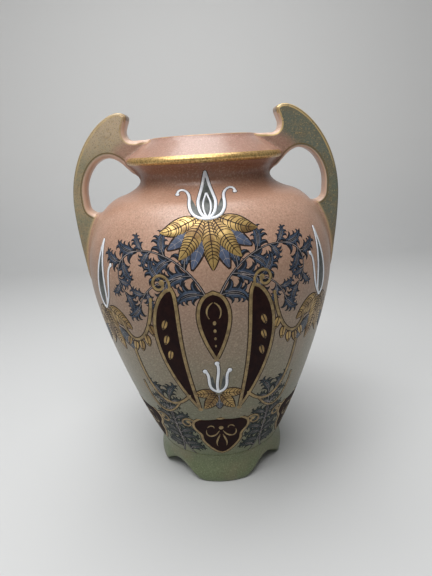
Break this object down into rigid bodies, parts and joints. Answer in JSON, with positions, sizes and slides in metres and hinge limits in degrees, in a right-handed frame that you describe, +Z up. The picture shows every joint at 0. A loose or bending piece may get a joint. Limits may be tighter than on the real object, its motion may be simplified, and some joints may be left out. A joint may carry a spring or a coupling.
{
  "type": "amphora vase",
  "caption": "Two-handled ceramic amphora vase with an ovoid body, a conical mouth collar, winged handles and a footed base, for holding cut flowers.",
  "frame": {"origin": "on the ground under the vertical axis of the vase", "axes": "+Z up along the axis, X through the two handles, -Y towards the front of the vase"},
  "size_m": [0.2834, 0.263, 0.4],
  "materials": {
    "body_glaze": "satin glaze shading from salmon pink through taupe to sage green",
    "collar_glaze": "glossy salmon-pink glaze",
    "handle_glaze": "satin mottled olive and teal glaze, stippled with gold",
    "base_glaze": "satin speckled sage-green glaze",
    "gold_lustre": "burnished antique gold over the glaze",
    "slate_enamel": "slate-blue painted enamel",
    "maroon_enamel": "dark maroon painted enamel",
    "white_enamel": "raised glossy white enamel"
  },
  "bodies": {
    "root": {"body": "body_glaze", "neck": "collar_glaze", "rim_collar": "collar_glaze", "handle_left": "handle_glaze", "handle_right": "handle_glaze", "foot_base": "base_glaze"}
  },
  "joints": []
}
